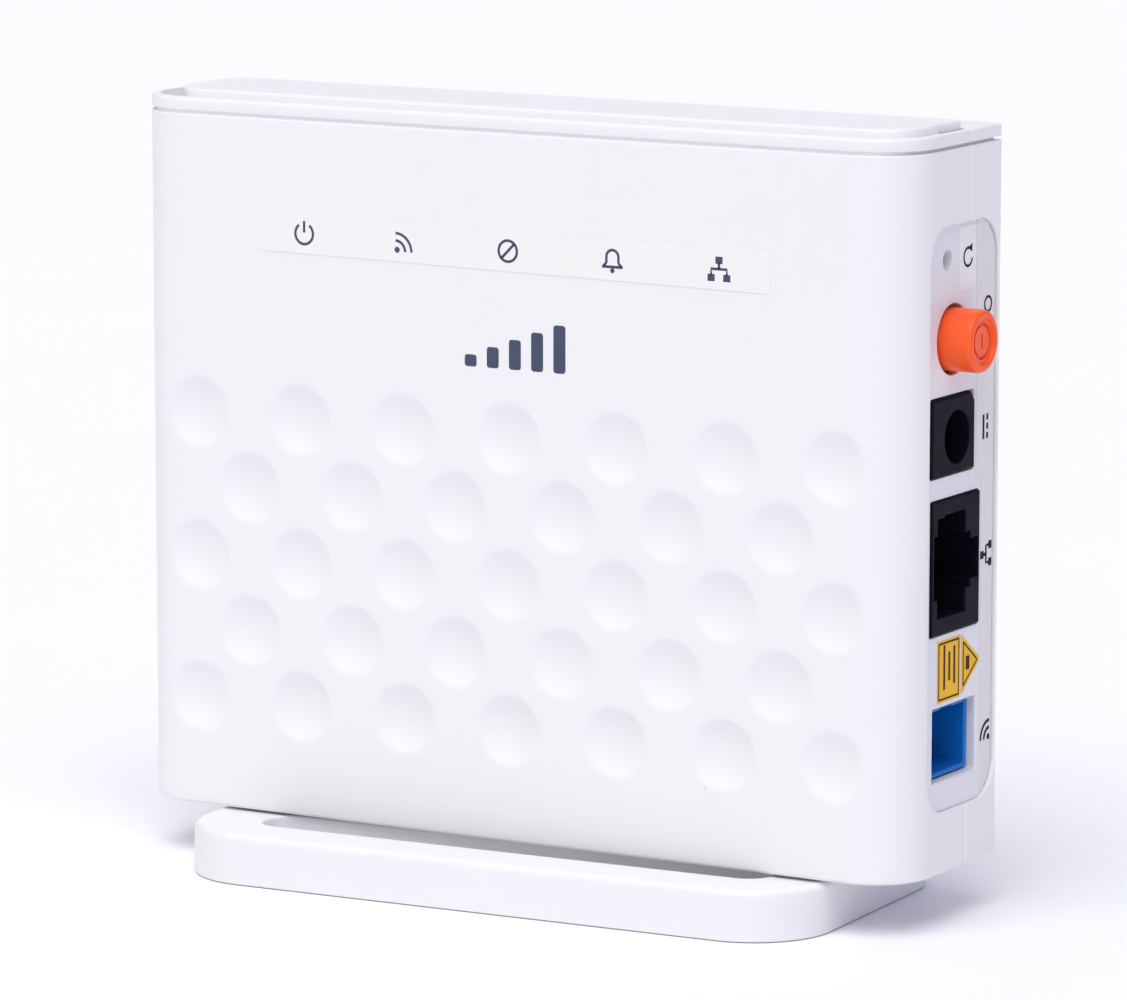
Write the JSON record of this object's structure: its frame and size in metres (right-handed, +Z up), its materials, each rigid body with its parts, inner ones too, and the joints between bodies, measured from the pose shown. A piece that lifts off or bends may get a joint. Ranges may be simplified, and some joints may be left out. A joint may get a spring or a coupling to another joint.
{
  "type": "optical network terminal",
  "caption": "Slim upright white network box with a dimpled front, side ports for power, network and fibre, an orange push button and a swivelling loop stand.",
  "frame": {"origin": "centre of the stand's underside on the desk plane, on the stand's swivel axis", "axes": "+Z up, -Y out of the dimpled front face, +X towards the side with the ports"},
  "size_m": [0.1081, 0.0478, 0.093],
  "materials": {
    "white_shell": "fine satin white ABS",
    "panel_shell": "satin white ABS",
    "stand_shell": "satin white ABS",
    "white_label": "matt label paper",
    "grey_label": "satin label film",
    "amber_label": "satin label film",
    "black_plastic": "moulded black plastic",
    "orange_plastic": "moulded orange plastic",
    "blue_plastic": "moulded blue plastic",
    "green_plastic": "moulded green plastic",
    "grey_plastic": "moulded grey plastic",
    "dark_rubber": "dark friction washer",
    "ceramic": "white zirconia",
    "steel": "zinc-plated steel",
    "gold_contact": "gold-plated spring wire",
    "aluminium": "extruded aluminium",
    "board_green": "solder-masked laminate",
    "chip_black": "moulded epoxy",
    "thermal_blue": "soft gap pad",
    "capacitor_sleeve": "shrink sleeve on a can",
    "lamp": "clear LED resin",
    "clear_plastic": "clear moulded light guide",
    "fibre_jacket": "fibre buffer tube"
  },
  "bodies": {
    "housing": {"front_cover": "white_shell", "rear_cover": "white_shell", "port_panel": "panel_shell", "pivot_post": "white_shell", "pivot_screw": "steel", "indicator_label": "white_label", "reset_label": "white_label", "port_label": "grey_label", "amber_label_square": "amber_label", "amber_label_triangle": "amber_label", "dc_jack_body": "black_plastic", "dc_jack_pin": "steel", "dc_jack_contact": "steel", "lan_jack_body": "black_plastic", "lan_contact_comb": "gold_contact", "fibre_adapter": "blue_plastic", "alignment_sleeve": "ceramic", "inner_fibre_plug": "green_plastic", "power_switch_body": "chip_black", "reset_switch_body": "chip_black", "main_board": "board_green", "board_screw_1": "steel", "board_screw_2": "steel", "board_screw_3": "steel", "case_screw_1": "steel", "case_screw_2": "steel", "main_chip": "chip_black", "memory_chip": "chip_black", "flash_chip": "chip_black", "lan_transformer": "chip_black", "dc_inductor": "chip_black", "clock_crystal": "steel", "shield_can": "steel", "thermal_pad": "thermal_blue", "capacitor_1": "capacitor_sleeve", "capacitor_2": "capacitor_sleeve", "heat_sink": "aluminium", "optical_module": "steel", "fibre_pigtail": "fibre_jacket", "indicator_led_1": "lamp", "indicator_led_2": "lamp", "indicator_led_3": "lamp", "indicator_led_4": "lamp", "indicator_led_5": "lamp", "light_guide": "clear_plastic"},
    "power_button": {"power_button_cap": "orange_plastic", "switch_plunger": "grey_plastic"},
    "reset_button": {"reset_plunger": "grey_plastic"},
    "stand": {"stand_base": "stand_shell", "retaining_ring": "grey_plastic", "friction_washer": "dark_rubber"}
  },
  "joints": [
    {"name": "power_button_slide", "type": "slide", "parent": "housing", "child": "power_button", "axis": [-1, 0, 0], "range_m": [0, 0.0028]},
    {"name": "reset_slide", "type": "slide", "parent": "housing", "child": "reset_button", "axis": [-1, 0, 0], "range_m": [0, 0.0005]},
    {"name": "stand_swivel", "type": "hinge", "parent": "housing", "child": "stand", "pos_m": [0, 0, 0.003], "axis": [0, 0, 1], "range_deg": [-3, 87]}
  ]
}
